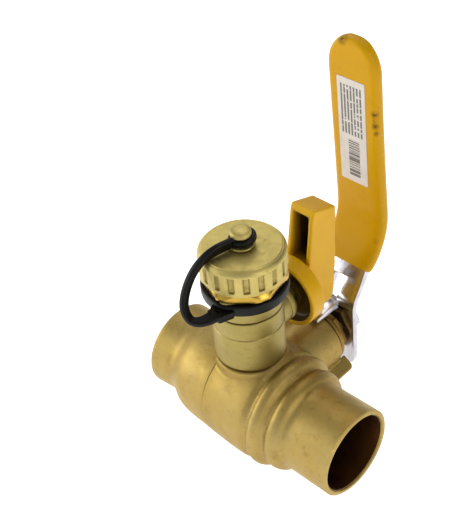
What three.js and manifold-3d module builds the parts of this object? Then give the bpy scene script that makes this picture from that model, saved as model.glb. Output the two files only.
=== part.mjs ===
// A one-inch solder-end ball valve with a side hose drain, in millimetres.
// +X runs along the pipe, +Z up the drain and +Y out along the main stem.
// The origin is the centre of the main ball. Both levers stand upright.
import * as THREE from 'three';
import { mergeVertices } from 'three/addons/utils/BufferGeometryUtils.js';
import Module from 'manifold-3d';

const wasm = await Module();
wasm.setup();

// ---- driving dimensions -------------------------------------------------
const GAP = 0.3; // between neighbouring pieces
const AROUND = 28; // segments round a large turned part
const AROUND_SMALL = 16; // segments round a small turned part

// pipe run, along X
const NEAR_END = 46.8;
const FAR_END = -38.1;
const SOCKET_R = 14.35; // takes a 28.6 mm copper tube
const SOCKET_DEPTH = 22.5;
const CUP_R = 16.45;
const BODY_R = 21.1;
const PORT_R = 11.6;
const SEAM_X = -6.5; // joint between the body and the screwed end piece
const COLLAR_R = 20.6;
const SPIGOT_R = 18.4; // the body's screwed end, inside the end piece's collar
const SPIGOT_END = -11.7;
const BALL_R = 15.5;
const CAVITY_R = 15.9;
const SEAT_DEPTH = 12.9; // |x| of the bottom of each seat pocket

// main stem, along Y
const BOSS_R = 12.2;
const BOSS_END = 35.3;
const STEM_R = 5;
const STEM_COLLAR_R = 6.2;
const PLATE_Y = 42.2; // inner face of the lever's base plate
const PLATE_T = 2.3;
const NUT_FLATS = 13;
const EAR_ANGLES = [-33, 124]; // stop ears, in degrees from +X towards +Z
const EAR_REACH = 17.5;
const EAR_END = 38;
const EAR_T = 3;

// main lever, up Z
const ARM_BEND_Z = 17;
const GRIP_BEND = [60.9, 37.6]; // y and z of the steel's inner face at the second bend
const STEEL_TOP = [57.2, 114];
const GRIP_TOP = 117;
const GRIP_BOTTOM = 27;
const VINYL_T = 1.1;
const WINDOW = [[0.1, 14.7], [4, 14.7], [2.6, 23.7], [-1.8, 23.3]]; // x and z; it leans a little
const TONGUE_SIDES = [-0.1, 4.4];

// side drain, up Z
const DRAIN_Z = 33.3; // height of the drain ball and its stem
const NECK_R = 12.5;
const NECK_BOTTOM = 21.3;
const NECK_TOP = 43.4;
const DRAIN_BALL_R = 7.6;
const DRAIN_PORT_R = 4.7;
const DRAIN_SPIGOT_R = 6; // screws into the body
const DRAIN_CAVITY_R = 9.1;
const DRAIN_STEM_R = 3.9;
const DRAIN_BOSS_R = 8.2;
const DRAIN_BOSS_END = 16.6;
const HUB_R = 13.4;
const HUB_FRONT = 18.5;
const LEVER_BACK = 41;
const HUB_BACK = 36;
const LEVER_TOP = 65;
const BOWL_BACK = 24.8;

// hose outlet and its cap, up Z
const HOSE_THREAD_R = 13.45; // 3/4 inch garden hose thread
const HOSE_THREAD_PITCH = 2.2087;
const HOSE_BORE_R = 9.5;
const HOSE_TOP = 63;
const HEX_FLATS = 27;
const HEX_TURN = (41 * Math.PI) / 180;
const HEX_BOTTOM = 54;
const HEX_TOP = 57.8;
const CAP_BOTTOM = 58.3;
const CAP_TOP = 67.7;
const CAP_R = 14.8;
const CAP_FLUTES = 18;

// rubber strap between the neck and the cap
const STRAP_Z = [49.3, 53.6];
const STRAP_R = [12.6, 15];
const LOOP_Z = 70.4;
const STRAP_HALF = 1.5; // of the strap's thickness
const STRAP_ROUTE = [
  [3.2, -17.9, 51], [2.6, -20.4, 50.8], [1.2, -22.7, 50.6], [-0.9, -24.1, 50.8],
  [-2.9, -24.4, 52.2], [-4.3, -23.7, 54.6], [-4.9, -22.6, 57.3], [-5, -21.2, 60.2],
  [-4.8, -19.6, 63], [-4.4, -17.7, 65.6], [-3.7, -15.2, 68], [-2.8, -12.2, 69.7],
  [-1.9, -9, 70.4], [-1.2, -5.9, 70.4],
];

// ---- materials ----------------------------------------------------------
const finish = (color, roughness, metalness) =>
  new THREE.MeshStandardMaterial({ color, roughness, metalness });
const forgedBrass = () => finish(0xb2965a, 0.5, 1);
const turnedBrass = () => finish(0xb9aa64, 0.35, 1);
const polishedBrass = () => finish(0xc89628, 0.25, 1);
const chromedBrass = () => finish(0xc8c8c8, 0.15, 1);
const zincSteel = () => finish(0xb4b4b4, 0.3, 1);
const yellowVinyl = () => finish(0xc89b19, 0.45, 0);
const yellowPaint = () => finish(0xd6a820, 0.4, 0);
const whitePlastic = () => finish(0xe8e8e2, 0.5, 0);
const blackRubber = () => finish(0x151515, 0.5, 0);
const paper = () => finish(0xe0d8d2, 0.6, 0);

// ---- helpers --------------------------------------------------------------

// Makes a closed geometry into a manifold solid with its faces pointing out.
function solid(geometry) {
  geometry.deleteAttribute('normal');
  geometry.deleteAttribute('uv');
  const merged = mergeVertices(geometry, 1e-4);
  const place = merged.attributes.position;
  const corners = merged.index.array;
  const triangles = [];
  const [a, b, c] = [new THREE.Vector3(), new THREE.Vector3(), new THREE.Vector3()];
  let volume = 0;
  for (let i = 0; i < corners.length; i += 3) {
    const [p, q, r] = [corners[i], corners[i + 1], corners[i + 2]];
    if (p === q || q === r || r === p) continue; // a triangle collapsed on the axis
    a.fromBufferAttribute(place, p);
    b.fromBufferAttribute(place, q);
    c.fromBufferAttribute(place, r);
    volume += a.dot(b.cross(c));
    triangles.push([p, q, r]);
  }
  const outward = volume > 0 ? triangles : triangles.map(([p, q, r]) => [p, r, q]);
  return new wasm.Manifold(new wasm.Mesh({
    numProp: 3,
    vertProperties: new Float32Array(place.array),
    triVerts: new Uint32Array(outward.flat()),
  }));
}

// Turns a profile of [radius, distance along the axis] points about an axis.
function turned(axis, profile, around = AROUND) {
  const closed = profile[0][0] > 0 ? [...profile, profile[0]] : profile;
  const points = closed.map(([r, along]) => new THREE.Vector2(r, along));
  const geometry = new THREE.LatheGeometry(points, around);
  if (axis === 'x') geometry.rotateZ(-Math.PI / 2);
  if (axis === 'z') geometry.rotateX(Math.PI / 2);
  return solid(geometry);
}

// A plain rod, and a plain ring, about an axis.
const rod = (axis, r, from, to, around) =>
  turned(axis, [[0, from], [r, from], [r, to], [0, to]], around);
const ring = (axis, inner, outer, from, to, around) =>
  turned(axis, [[inner, from], [outer, from], [outer, to], [inner, to]], around);

// A box between two opposite corners.
function block(low, high) {
  const size = high.map((value, i) => value - low[i]);
  const geometry = new THREE.BoxGeometry(...size);
  geometry.translate(...low.map((value, i) => value + size[i] / 2));
  return solid(geometry);
}

// Pushes a flat outline out along an axis: its own x and y lie on (x, z) for
// axis y, on (y, z) for axis x and on (x, y) for axis z.
function pushed(axis, shape, from, to, curveSegments = 6) {
  const geometry = new THREE.ExtrudeGeometry(
    shape, { depth: to - from, bevelEnabled: false, curveSegments });
  geometry.translate(0, 0, from);
  if (axis === 'y') geometry.applyMatrix4(new THREE.Matrix4().makeBasis(
    new THREE.Vector3(1, 0, 0), new THREE.Vector3(0, 0, 1), new THREE.Vector3(0, 1, 0)));
  if (axis === 'x') geometry.applyMatrix4(new THREE.Matrix4().makeBasis(
    new THREE.Vector3(0, 1, 0), new THREE.Vector3(0, 0, 1), new THREE.Vector3(1, 0, 0)));
  return solid(geometry);
}

const outline = (points) => new THREE.Shape(points.map(([x, y]) => new THREE.Vector2(x, y)));

// A regular hexagon's outline by its width across flats.
function hexagon(flats, turn = 0) {
  const corner = flats / Math.sqrt(3);
  return outline(Array.from({ length: 6 }, (_, i) => {
    const angle = turn + (i * Math.PI) / 3;
    return [corner * Math.cos(angle), corner * Math.sin(angle)];
  }));
}

const valve = new THREE.Group();

// Adds a solid to a group as a named mesh.
function piece(name, shape, material, group = valve) {
  const { vertProperties, triVerts } = shape.getMesh();
  const geometry = new THREE.BufferGeometry();
  geometry.setAttribute('position', new THREE.BufferAttribute(vertProperties, 3));
  geometry.setIndex(new THREE.BufferAttribute(triVerts, 1));
  geometry.computeVertexNormals();
  const mesh = new THREE.Mesh(geometry, material);
  mesh.name = name;
  group.add(mesh);
  return mesh;
}

// ---- pipe run ---------------------------------------------------------------

// A radial rib on the stem boss that stops the lever.
function ear(angle) {
  const rib = outline([
    [8, 12], [EAR_REACH, 12], [EAR_REACH, EAR_END - 1.5], [EAR_REACH - 1.5, EAR_END],
    [BOSS_R - 0.5, EAR_END], [BOSS_R - 0.5, BOSS_END - 2], [8, BOSS_END - 2],
  ]);
  const geometry = new THREE.ExtrudeGeometry(rib, { depth: EAR_T, bevelEnabled: false });
  geometry.translate(0, 0, -EAR_T / 2);
  geometry.rotateY((-angle * Math.PI) / 180);
  return solid(geometry);
}

// The forged body: near cup, two rings, the swollen middle, the stem boss on
// +Y with its two ears, and the spot-faced drain boss on +Z.
function valveBody() {
  const outside = turned('x', [
    [0, NEAR_END], [CUP_R - 0.7, NEAR_END], [CUP_R - 0.15, NEAR_END - 0.6], [CUP_R, 40],
    [CUP_R - 0.1, 27], [17.9, 26], [18.9, 24.6], [19.3, 22.8], [18.9, 20.4], [19.9, 19.2],
    [21, 17.6], [21.3, 15.8], [20.8, 14.6], [20.8, 13.3], [21.3, 12.2], [BODY_R, 4],
    [COLLAR_R, SEAM_X], [SPIGOT_R, SEAM_X], [SPIGOT_R, SPIGOT_END], [0, SPIGOT_END],
  ]);
  const stemBoss = turned('y', [
    [0, 8], [BOSS_R, 8], [BOSS_R, BOSS_END - 0.6], [BOSS_R - 0.6, BOSS_END], [0, BOSS_END],
  ], 26);
  const drainBoss = rod('z', NECK_R - 0.2, 8, NECK_BOTTOM - GAP);
  const joined = [stemBoss, drainBoss, ...EAR_ANGLES.map(ear)].reduce(
    (sum, part) => sum.add(part), outside);
  const inside = turned('x', [
    [0, SPIGOT_END - 1], [CAVITY_R, SPIGOT_END - 1], [CAVITY_R, SEAT_DEPTH],
    [PORT_R, SEAT_DEPTH], [PORT_R, NEAR_END - SOCKET_DEPTH],
    [SOCKET_R, NEAR_END - SOCKET_DEPTH], [SOCKET_R, NEAR_END - 0.8],
    [SOCKET_R + 0.6, NEAR_END], [SOCKET_R + 0.6, NEAR_END + 1], [0, NEAR_END + 1],
  ]);
  const collarRoom = COLLAR_R + 0.7;
  const cuts = [
    inside,
    ring('x', SPIGOT_R, collarRoom, SPIGOT_END - 1, SEAM_X),
    rod('x', collarRoom, SPIGOT_END - 10, SPIGOT_END),
    rod('z', NECK_R + 0.4, NECK_BOTTOM - GAP, 30), // spot face under the neck
    rod('z', DRAIN_SPIGOT_R + GAP, 8, 24, AROUND_SMALL),
    rod('y', STEM_COLLAR_R + 0.4, 8, 19.6, AROUND_SMALL),
    rod('y', STEM_R + 0.4, 19, 28, AROUND_SMALL),
    rod('y', 8, 27.5, 40, AROUND_SMALL),
  ];
  return cuts.reduce((rest, cut) => rest.subtract(cut), joined);
}

// The screwed end piece: a collar over the body's screwed end, and the far cup.
function endPiece() {
  return turned('x', [
    [SPIGOT_R + GAP, SEAM_X - GAP], [COLLAR_R, SEAM_X - GAP],
    [COLLAR_R - 0.2, -12], [20, -17.5], [19.4, -20.2], [18.3, -22.6], [16.4, -25.8],
    [15.8, -28], [16.3, -33], [CUP_R, FAR_END + 0.6], [CUP_R - 0.6, FAR_END],
    [SOCKET_R + 0.6, FAR_END], [SOCKET_R, FAR_END + 0.8], [SOCKET_R, FAR_END + SOCKET_DEPTH],
    [PORT_R, FAR_END + SOCKET_DEPTH], [PORT_R, -SEAT_DEPTH], [SPIGOT_R + GAP, -SEAT_DEPTH],
  ]);
}

// A seat ring for a ball: a pocketed ring whose inner face follows the ball.
function seat(axis, inner, outer, bottom, top, ballR, around) {
  const hollow = ballR + GAP;
  const steps = 3;
  const reach = Math.sqrt(hollow ** 2 - top ** 2);
  const curve = Array.from({ length: steps + 1 }, (_, i) => {
    const r = reach + ((inner - reach) * i) / steps;
    return [r, Math.sqrt(hollow ** 2 - r ** 2)];
  });
  return turned(axis, [[inner, bottom], [outer, bottom], [outer, top], ...curve], around);
}

// The main ball: a bore, a side port and a slot for the stem's tang.
function mainBall() {
  const ball = solid(new THREE.SphereGeometry(BALL_R, 24, 14));
  return ball
    .subtract(rod('z', PORT_R, -BALL_R - 1, BALL_R + 1, 20))
    .subtract(rod('x', 7, 0, BALL_R + 1, AROUND_SMALL))
    .subtract(block([-BALL_R, 12.3, -2.8], [BALL_R, BALL_R + 1, 2.8]));
}

piece('valve_body', valveBody(), forgedBrass());
piece('end_piece', endPiece(), forgedBrass());
piece('body_seal', ring(
  'x', CAVITY_R + GAP, SPIGOT_R, GAP - SEAT_DEPTH, SPIGOT_END - GAP, 24), whitePlastic());
piece('main_ball', mainBall(), chromedBrass());
const mainSeat = () => seat(
  'x', PORT_R + 0.3, CAVITY_R - GAP, SEAT_DEPTH - GAP, 7.2, BALL_R, 24);
piece('main_seat_near', mainSeat(), whitePlastic());
piece('main_seat_far', mainSeat(), whitePlastic()).rotation.z = Math.PI;

// ---- main stem, along Y -------------------------------------------------------

const HANDLE_HOLE_FLATS = 3.6; // half the width across the stem's flats
const NUT_START = PLATE_Y + PLATE_T + GAP + 1.1 + GAP;
const NUT_END = NUT_START + 5.6;

function mainStem() {
  const shaft = turned('y', [
    [0, 16.3], [STEM_COLLAR_R, 16.3], [STEM_COLLAR_R, 18.2], [STEM_R, 18.2],
    [STEM_R, PLATE_Y - 0.6], [4.4, PLATE_Y], [4.4, NUT_END + 1], [3.9, NUT_END + 1.5],
    [0, NUT_END + 1.5],
  ], AROUND_SMALL);
  const tang = block([-4, 12.7, -2.5], [4, 16.4, 2.5]);
  const flats = [-1, 1].map((side) => block(
    [Math.min(side * HANDLE_HOLE_FLATS, side * 8), PLATE_Y - 0.6, -8],
    [Math.max(side * HANDLE_HOLE_FLATS, side * 8), PLATE_Y + PLATE_T + 0.6, 8]));
  return flats.reduce((rest, flat) => rest.subtract(flat), shaft.add(tang));
}

// The screwed gland: a threaded skirt, a round flange and a hexagon.
function packingNut() {
  const skirt = turned('y', [
    [STEM_R + GAP, 31.8], [8 - GAP, 31.8], [8 - GAP, BOSS_END + 0.6], [11.2, BOSS_END + 0.6],
    [11.2, 37.4], [10.8, 37.8], [STEM_R + GAP, 37.8],
  ], 24);
  const hex = pushed('y', hexagon(17), 37.5, 40.8)
    .subtract(rod('y', STEM_R + GAP, 37, 42, 24));
  return skirt.add(hex);
}

piece('main_stem', mainStem(), turnedBrass());
piece('main_thrust_washer', ring(
  'y', 5.3, STEM_COLLAR_R, 18.5, 19.3, AROUND_SMALL), whitePlastic());
piece('main_packing', turned('y', [
  [5.3, 27.8], [7.7, 27.8], [7.7, 31.1], [6.5, 30.3], [5.3, 31.1],
], AROUND_SMALL), whitePlastic());
piece('main_packing_nut', packingNut(), turnedBrass());

// ---- main lever -----------------------------------------------------------------

// The line of the steel's inner face in the (y, z) plane, with rounded bends.
function leverLine(from, to) {
  const path = new THREE.Path();
  const [bendY, bendZ] = GRIP_BEND;
  const slope = (bendY - PLATE_Y) / (bendZ - ARM_BEND_Z);
  path.moveTo(PLATE_Y, -14);
  path.lineTo(PLATE_Y, ARM_BEND_Z - 3);
  path.quadraticCurveTo(PLATE_Y, ARM_BEND_Z, PLATE_Y + 2.5 * slope, ARM_BEND_Z + 2.5);
  path.lineTo(bendY - 7 * slope, bendZ - 7);
  path.quadraticCurveTo(bendY, bendZ, bendY - 0.3, bendZ + 10);
  path.lineTo(...STEEL_TOP);
  const points = path.getPoints(4);
  const step = STEEL_TOP.map((value, i) => value - points.at(-2).toArray()[i]);
  points.push(new THREE.Vector2(STEEL_TOP[0] + step[0] * 0.1, STEEL_TOP[1] + step[1] * 0.1));
  return points.filter((point) => point.y >= from && point.y <= to);
}

// A strip of that line, from inner to outer distance behind the inner face.
function leverStrip(inner, outer, halfWidth, from = -99, to = 999) {
  const line = leverLine(from, to);
  const behind = (distance) => line.map((point, i) => {
    const before = line[Math.max(i - 1, 0)];
    const after = line[Math.min(i + 1, line.length - 1)];
    const along = after.clone().sub(before).normalize();
    return [point.x + along.y * distance, point.y - along.x * distance];
  });
  const edge = outline([...behind(inner), ...behind(outer).reverse()]);
  return pushed('x', edge, -halfWidth, halfWidth);
}

// The steel's front outline: a rounded foot, the arm and the tongue in the grip.
function steelOutline() {
  const shape = new THREE.Shape();
  const [foot, arm, core] = [11.7, 11.3, 8];
  const side = (sign) => (sign > 0
    ? [[foot, -9], [arm, ARM_BEND_Z], [arm - 1, 25], [core, 33], [core, 100]]
    : [[-core, 100], [-core, 33], [-arm + 1, 25], [-arm, ARM_BEND_Z], [-foot, -9]]);
  shape.moveTo(-9, -13);
  shape.lineTo(9, -13);
  shape.quadraticCurveTo(foot, -13, ...side(1)[0]);
  side(1).slice(1).forEach(([x, z]) => shape.lineTo(x, z));
  shape.quadraticCurveTo(core, STEEL_TOP[1] - 1, 0, STEEL_TOP[1] - 1);
  shape.quadraticCurveTo(-core, STEEL_TOP[1] - 1, ...side(-1)[0]);
  side(-1).slice(1).forEach(([x, z]) => shape.lineTo(x, z));
  shape.quadraticCurveTo(-foot, -13, -9, -13);
  return shape;
}

// The zinc-plated lever: a bent strip with a window, the stop tongue that was
// cut from it, and a flatted hole on the stem.
function mainHandle() {
  const strip = leverStrip(0, PLATE_T, 16).intersect(pushed('y', steelOutline(), 30, 80));
  const window = pushed('y', outline(WINDOW), 30, 80);
  const hole = rod('y', 4.4 + GAP, 30, 60, AROUND_SMALL).intersect(
    block([-HANDLE_HOLE_FLATS - GAP, 30, -9], [HANDLE_HOLE_FLATS + GAP, 60, 9]));
  const tongue = pushed('x', outline([
    [PLATE_Y + 1, 11.9], [PLATE_Y + 1, 14.6], [39, 15], [30, 14.9], [30, 12.7], [39, 12.6],
  ]), ...TONGUE_SIDES);
  return strip.subtract(window).subtract(hole).add(tongue);
}

// The dipped vinyl grip, with the pocket that the steel fills.
function mainGrip() {
  const shape = new THREE.Shape();
  const [rootLeft, waistLeft, headLeft] = [-10.5, -10.6, -11];
  const [rootRight, waistRight, headRight] = [11.3, 10.5, 10];
  shape.moveTo(rootLeft + 0.4, GRIP_BOTTOM);
  shape.lineTo(rootRight - 0.4, GRIP_BOTTOM);
  shape.quadraticCurveTo(rootRight + 0.7, GRIP_BOTTOM + 2, rootRight, 42);
  shape.quadraticCurveTo(waistRight - 0.2, 70, headRight, 104);
  shape.quadraticCurveTo(headRight, GRIP_TOP, -0.5, GRIP_TOP);
  shape.quadraticCurveTo(headLeft, GRIP_TOP, headLeft, 104);
  shape.quadraticCurveTo(waistLeft, 70, rootLeft, 42);
  shape.quadraticCurveTo(rootLeft - 0.7, GRIP_BOTTOM + 2, rootLeft + 0.4, GRIP_BOTTOM);
  const skin = leverStrip(-VINYL_T - GAP, PLATE_T + VINYL_T + GAP, 14)
    .intersect(pushed('y', shape, 30, 80));
  const pocketShape = steelOutline().getPoints(6).map(({ x, y }) => [
    x + Math.sign(x) * GAP, y > 60 ? y + GAP : y]);
  const pocket = leverStrip(-GAP, PLATE_T + GAP, 14)
    .intersect(pushed('y', outline(pocketShape), 30, 80));
  return skin.subtract(pocket);
}

piece('main_handle', mainHandle(), zincSteel());
piece('main_grip', mainGrip(), yellowVinyl());

// The paper label lies along the leaning inner face of the grip.
const LABEL_SIZE = [11.8, 0.4, 43];
const LABEL_MIDDLE = [-0.6, 80.2]; // x and z
const label = piece('grip_label', solid(new THREE.BoxGeometry(...LABEL_SIZE)), paper());
const leanRun = STEEL_TOP[1] - GRIP_BEND[1] - 10;
const lean = Math.atan2(GRIP_BEND[0] - 0.3 - STEEL_TOP[0], leanRun);
const behindLabel = STEEL_TOP[0] + (STEEL_TOP[1] - LABEL_MIDDLE[1]) * Math.tan(lean);
label.position.set(
  LABEL_MIDDLE[0], behindLabel - VINYL_T - 2 * GAP - LABEL_SIZE[1] / 2, LABEL_MIDDLE[1]);
label.rotation.x = lean;

const WASHER_START = PLATE_Y + PLATE_T + GAP;
piece('main_lock_washer', ring(
  'y', 4.7, 7.6, WASHER_START, WASHER_START + 1.1, AROUND_SMALL), zincSteel());
piece('main_handle_nut', pushed('y', hexagon(NUT_FLATS), NUT_START, NUT_END)
  .intersect(turned('y', [
    [0, NUT_START], [7.1, NUT_START], [8, NUT_START + 0.7], [8, NUT_END - 0.7], [7.1, NUT_END],
    [0, NUT_END],
  ], 24))
  .subtract(rod('y', 4.7, 40, 60, AROUND_SMALL)), zincSteel());

// ---- side drain -------------------------------------------------------------------

// The turned neck that screws into the body, with the drain stem's boss on +Y.
function drainBody() {
  const neck = turned('z', [
    [0, 17.4], [DRAIN_SPIGOT_R, 17.4], [DRAIN_SPIGOT_R, NECK_BOTTOM], [NECK_R - 0.9, NECK_BOTTOM],
    [NECK_R, NECK_BOTTOM + 1.2], [NECK_R, 35.7], [NECK_R - 0.3, 36], [NECK_R, 36.3],
    [NECK_R, NECK_TOP - 0.3], [NECK_R - 0.3, NECK_TOP], [0, NECK_TOP],
  ]);
  const boss = turned('y', [
    [0, 4], [DRAIN_BOSS_R, 4], [DRAIN_BOSS_R, DRAIN_BOSS_END - 1],
    [DRAIN_BOSS_R - 1, DRAIN_BOSS_END], [0, DRAIN_BOSS_END],
  ], 24).translate([0, 0, DRAIN_Z]);
  const passage = turned('z', [
    [0, 16], [DRAIN_PORT_R, 16], [DRAIN_PORT_R, 25.7], [DRAIN_CAVITY_R, 25.7],
    [DRAIN_CAVITY_R, NECK_TOP + 1], [0, NECK_TOP + 1],
  ], 24);
  const stemWay = turned('y', [
    [0, 0], [5.4, 0], [5.4, 12.2], [DRAIN_STEM_R + GAP, 12.2],
    [DRAIN_STEM_R + GAP, 20], [0, 20],
  ], AROUND_SMALL).translate([0, 0, DRAIN_Z]);
  return neck.add(boss).subtract(passage).subtract(stemWay);
}

// Everything here is placed from the drain ball's centre.
const drain = new THREE.Group();
drain.position.z = DRAIN_Z;
valve.add(drain);

function drainBall() {
  return solid(new THREE.SphereGeometry(DRAIN_BALL_R, 16, 10))
    .subtract(rod('z', DRAIN_PORT_R, -9, 9, AROUND_SMALL))
    .subtract(block([-9, 5.6, -1.7], [9, 9, 1.7]));
}

function drainStem() {
  const shaft = turned('y', [
    [0, 7.9], [3.3, 7.9], [3.3, 9.6], [5, 9.6], [5, 10.9], [DRAIN_STEM_R, 10.9],
    [DRAIN_STEM_R, 13.3], [2.4, 13.3], [2.4, 15.3], [DRAIN_STEM_R, 15.3],
    [DRAIN_STEM_R, 27], [2.6, 27], [2.6, 33.5], [0, 33.5],
  ], AROUND_SMALL);
  return shaft.add(block([-3.2, 5.9, -1.4], [3.2, 8, 1.4]));
}

// The cast lever: an open bowl round the stem, and behind it a flat-sided blade
// with a deep pocket in its front.
function drainHandle() {
  const tip = 5.2;
  const top = LEVER_TOP - DRAIN_Z;
  const right = [[7, -9], [6, -3], [5.4, 12], [tip, top - 2]];
  const blade = new THREE.Shape();
  blade.moveTo(0, -HUB_R + 0.2);
  blade.quadraticCurveTo(6.3, -HUB_R + 0.2, ...right[0]);
  right.slice(1).forEach(([x, z]) => blade.lineTo(x, z));
  blade.quadraticCurveTo(tip, top, tip - 1.2, top);
  blade.lineTo(-tip + 1.2, top);
  blade.quadraticCurveTo(-tip, top, -tip, top - 2);
  right.slice(0, 3).reverse().forEach(([x, z]) => blade.lineTo(-x, z));
  blade.quadraticCurveTo(-6.3, -HUB_R + 0.2, 0, -HUB_R + 0.2);
  const side = outline([
    [23.5, -14], [31.5, -14], [34.5, -11.5], [36.8, -8], [38.6, -3], [40.2, 8],
    [LEVER_BACK, 24], [40.9, 28], [29.8, 31.6], [28.9, 29], [26.5, 13.8], [26.2, 10], [23.5, 10],
  ]);
  const body = pushed('y', blade, 20, 45, 5).intersect(pushed('x', side, -15, 15));
  const bowl = turned('y', [
    [0, HUB_FRONT], [HUB_R - 0.3, HUB_FRONT], [HUB_R, HUB_FRONT + 0.6],
    [HUB_R, BOWL_BACK - 0.4], [HUB_R - 0.4, BOWL_BACK], [0, BOWL_BACK],
  ], 32);
  const bowlHollow = turned('y', [
    [0, 10], [HUB_R - 1.7, 10], [HUB_R - 1.7, 22.4], [HUB_R - 2.1, 22.8], [0, 22.8],
  ], 28);
  const socket = rod('y', 6, 20, 30, AROUND_SMALL);
  const stemHole = turned('y', [
    [0, 10], [DRAIN_STEM_R + GAP, 10], [DRAIN_STEM_R + GAP, 27.3], [2.9, 27.3], [2.9, 50], [0, 50],
  ], AROUND_SMALL);
  const pocketFront = outline([[-3.6, 9], [3.6, 9], [3.1, 32], [-3.1, 32]]);
  const pocketSide = outline([
    [BOWL_BACK + 0.1, 8], [LEVER_BACK - 2.6, 8], [LEVER_BACK - 2.6, 25.7], [BOWL_BACK + 0.1, 30.3],
  ]);
  const pocket = pushed('y', pocketFront, 20, 45).intersect(pushed('x', pocketSide, -5, 5));
  return body.add(bowl).subtract(bowlHollow).add(socket).subtract(stemHole).subtract(pocket)
    .subtract(rod('y', 4.8, HUB_BACK, 50, AROUND_SMALL)); // seat of the screw's head
}

function drainHandleScrew() {
  const stud = turned('y', [
    [0, 33.9], [2, 33.9], [2, HUB_BACK + GAP], [4.4, HUB_BACK + GAP],
    [4.4, HUB_BACK + 1.8], [3.4, HUB_BACK + 2.6], [0, HUB_BACK + 2.6],
  ], AROUND_SMALL);
  const slots = [[2.5, 0.5], [0.5, 2.5]].map(([x, z]) => block(
    [-x, HUB_BACK + 1.4, -z], [x, HUB_BACK + 5, z]));
  return slots.reduce((rest, slot) => rest.subtract(slot), stud);
}

piece('drain_body', drainBody(), turnedBrass());
const drainSeat = () => seat('z', 5.5, DRAIN_CAVITY_R - GAP, 7.3, 3.7, DRAIN_BALL_R, AROUND_SMALL);
piece('drain_seat_lower', drainSeat(), whitePlastic(), drain).rotation.x = Math.PI;
piece('drain_seat_upper', drainSeat(), whitePlastic(), drain);
piece('drain_ball', drainBall(), chromedBrass(), drain);
piece('drain_stem', drainStem(), turnedBrass(), drain);
piece('drain_thrust_washer', ring(
  'y', DRAIN_STEM_R + GAP, 5.1, 11.2, 11.9, AROUND_SMALL), whitePlastic(), drain);
piece('drain_stem_oring', turned('y', Array.from({ length: 8 }, (_, i) => {
  const angle = (i * Math.PI) / 4;
  return [3.3 + 0.6 * Math.cos(angle), 14.3 + 0.6 * Math.sin(angle)];
}), AROUND_SMALL), blackRubber(), drain);
piece('drain_handle', drainHandle(), yellowPaint(), drain);
piece('drain_handle_screw', drainHandleScrew(), zincSteel(), drain);

// ---- hose outlet and cap --------------------------------------------------------------

// The outlet adapter: spigot, band, strap groove, hexagon and hose thread.
function drainAdapter() {
  const shell = turned('z', [
    [6, 40.9], [8.8, 40.9], [8.8, NECK_TOP + GAP], [NECK_R, NECK_TOP + GAP],
    [NECK_R, STRAP_Z[0] - GAP], [NECK_R - 0.5, STRAP_Z[0] - GAP], [NECK_R - 0.5, HEX_TOP - 1],
    [NECK_R - 0.5, CAP_BOTTOM - 0.4],
    ...hoseThread(),
    [HOSE_THREAD_R - 0.9, HOSE_TOP - 0.4], [HOSE_THREAD_R - 1.4, HOSE_TOP],
    [HOSE_BORE_R, HOSE_TOP], [HOSE_BORE_R, 48], [6, 46],
  ]);
  const hex = pushed('z', hexagon(HEX_FLATS, HEX_TURN), HEX_BOTTOM, HEX_TOP)
    .intersect(turned('z', [
      [0, HEX_BOTTOM], [15.3, HEX_BOTTOM], [15.3, HEX_TOP - 1.2], [13.4, HEX_TOP], [0, HEX_TOP],
    ]))
    .subtract(rod('z', HOSE_BORE_R + 0.5, 50, 60, 24));
  return shell.add(hex);
}

// The crests of the hose thread, drawn as rings at its pitch.
function hoseThread() {
  const crests = [];
  for (let z = CAP_BOTTOM + 0.4; z + HOSE_THREAD_PITCH < HOSE_TOP; z += HOSE_THREAD_PITCH) {
    crests.push([HOSE_THREAD_R - 1, z], [HOSE_THREAD_R, z + 0.7], [HOSE_THREAD_R, z + 1.1]);
  }
  return crests;
}

// The cap: a fluted skirt under a smooth crown, with a rivet hole on top.
function hoseCap() {
  const cap = turned('z', [
    [HOSE_THREAD_R + GAP, CAP_BOTTOM], [CAP_R - 0.5, CAP_BOTTOM], [CAP_R, CAP_BOTTOM + 0.8],
    [CAP_R, 65.4], [CAP_R - 0.4, 66.6], [CAP_R - 1.2, CAP_TOP], [2.3, CAP_TOP],
    [2.3, 65.5], [HOSE_THREAD_R + GAP, 65.5],
  ], 36);
  const flute = rod('z', 1.5, CAP_BOTTOM + 1, 65, 8);
  const flutes = Array.from({ length: CAP_FLUTES }, (_, i) => {
    const angle = (i * 2 * Math.PI) / CAP_FLUTES;
    const reach = CAP_R + 0.9;
    return flute.translate([reach * Math.cos(angle), reach * Math.sin(angle), 0]);
  });
  return flutes.reduce((rest, cut) => rest.subtract(cut), cap);
}

piece('drain_adapter', drainAdapter(), turnedBrass());
piece('hose_cap', hoseCap(), turnedBrass());
piece('cap_washer', ring('z', 9.8, HOSE_THREAD_R, HOSE_TOP + GAP, 65.2, 24), blackRubber());
piece('cap_rivet', turned('z', [
  [0, 63.9], [4, 63.9], [4, 65.2], [2, 65.2], [2, CAP_TOP + GAP], [4.6, CAP_TOP + GAP],
  [4.6, 68.7], [2.6, 69.2], [2.6, 71.7], [3.5, 72], [3.6, 73.3], [2.6, 74.2], [0, 74.2],
], AROUND_SMALL), turnedBrass());

// ---- rubber strap -----------------------------------------------------------------------

// The ring round the neck, with a tab that the strap grows from.
function strapRing() {
  const [low, high] = STRAP_Z;
  const hoop = ring('z', STRAP_R[0], STRAP_R[1], low, high, 28);
  const corners = [[0.6, -13.4], [2.1, -16.1], [5.5, -17.7], [7.2, -13]];
  const tab = pushed('z', outline(corners), low, low + 2.6);
  return hoop.add(tab.subtract(rod('z', STRAP_R[0] + 0.2, 40, 60, 28)));
}

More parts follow.
